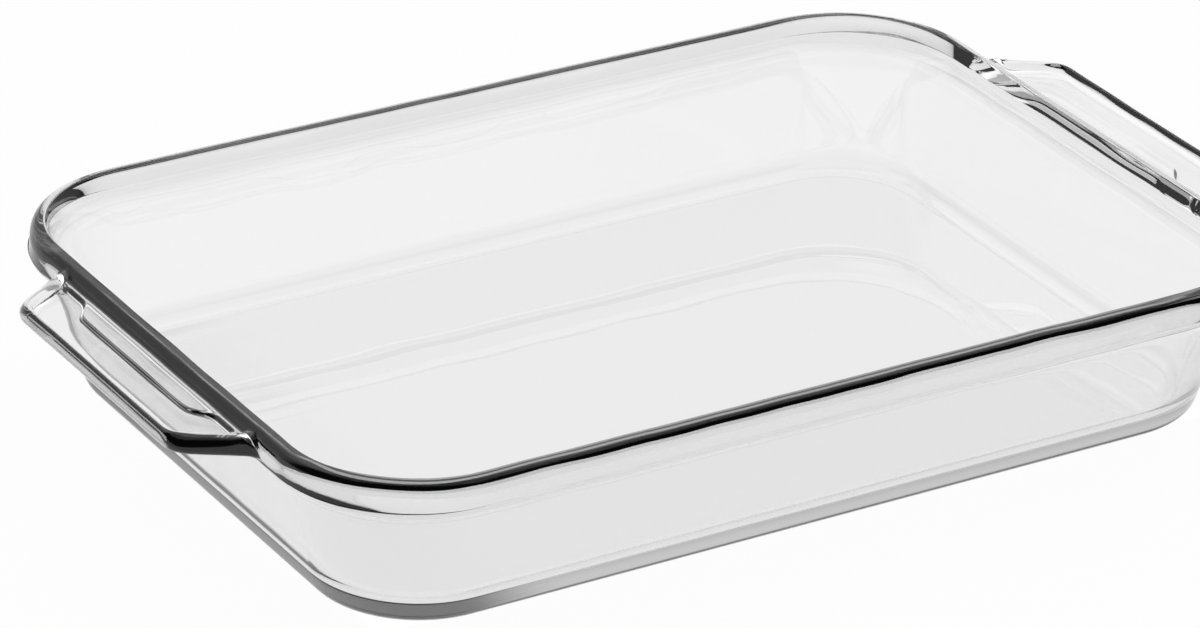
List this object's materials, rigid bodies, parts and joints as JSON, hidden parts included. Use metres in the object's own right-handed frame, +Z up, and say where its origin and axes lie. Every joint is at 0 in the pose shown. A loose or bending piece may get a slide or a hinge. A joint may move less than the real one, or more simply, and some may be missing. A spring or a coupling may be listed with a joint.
{
  "type": "glass baking pan",
  "caption": "Rectangular clear glass baking pan with sloping walls, rounded corners, a thick rim and a flat grip at each end.",
  "frame": {"origin": "centre of the footprint, on the surface that the pan stands on", "axes": "+X along the pan from the left grip to the right grip, +Y to the back, +Z up"},
  "size_m": [0.389, 0.247, 0.0565],
  "materials": {
    "clear_glass": "clear pressed glass, fire-polished"
  },
  "bodies": {
    "root": {"floor_panel": "clear_glass", "front_wall": "clear_glass", "right_wall": "clear_glass", "back_wall": "clear_glass", "left_wall": "clear_glass", "front_right_corner": "clear_glass", "back_right_corner": "clear_glass", "back_left_corner": "clear_glass", "front_left_corner": "clear_glass", "front_rim": "clear_glass", "right_rim": "clear_glass", "back_rim": "clear_glass", "left_rim": "clear_glass", "front_right_rim_corner": "clear_glass", "back_right_rim_corner": "clear_glass", "back_left_rim_corner": "clear_glass", "front_left_rim_corner": "clear_glass", "left_grip": "clear_glass", "right_grip": "clear_glass"}
  },
  "joints": []
}
